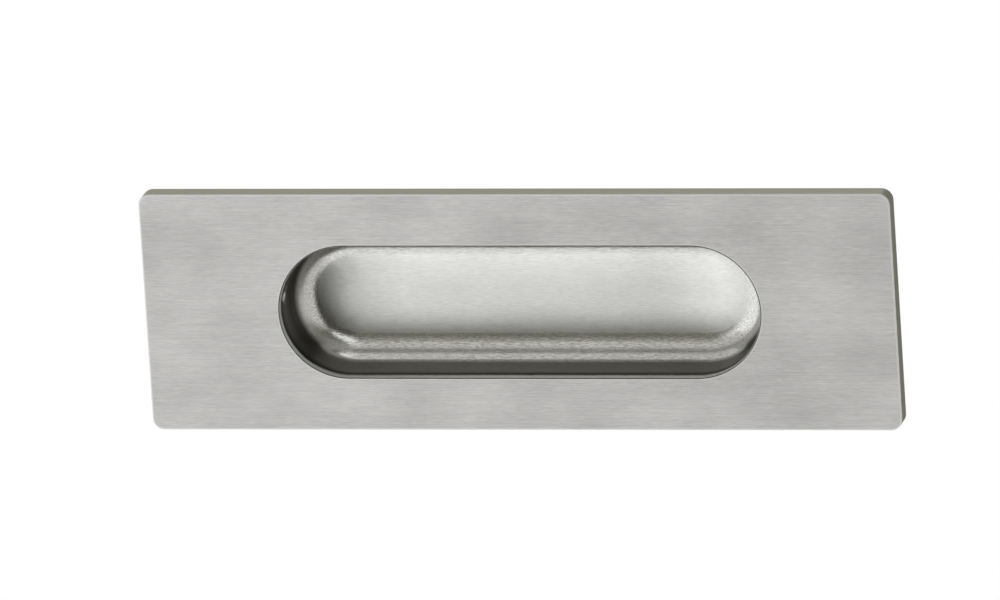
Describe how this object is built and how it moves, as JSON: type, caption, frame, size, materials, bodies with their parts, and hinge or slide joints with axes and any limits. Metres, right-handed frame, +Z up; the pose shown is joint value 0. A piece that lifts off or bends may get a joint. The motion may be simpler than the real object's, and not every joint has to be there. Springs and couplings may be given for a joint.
{
  "type": "recessed pull handle",
  "caption": "Flush pull for a sliding door: brushed steel face plate with rounded corners and a long round-ended finger recess drawn into a cup.",
  "frame": {"origin": "middle of the back face of the plate, on the surface of the door", "axes": "+X along the plate, +Z up, +Y into the door; the face that is seen looks along -Y"},
  "size_m": [0.15, 0.0146, 0.048],
  "materials": {
    "plate_steel": "stainless steel, brushed along its length",
    "cup_steel": "stainless steel, deep-drawn and satin brushed"
  },
  "bodies": {
    "root": {"face_plate": "plate_steel", "recess_cup": "cup_steel"}
  },
  "joints": []
}
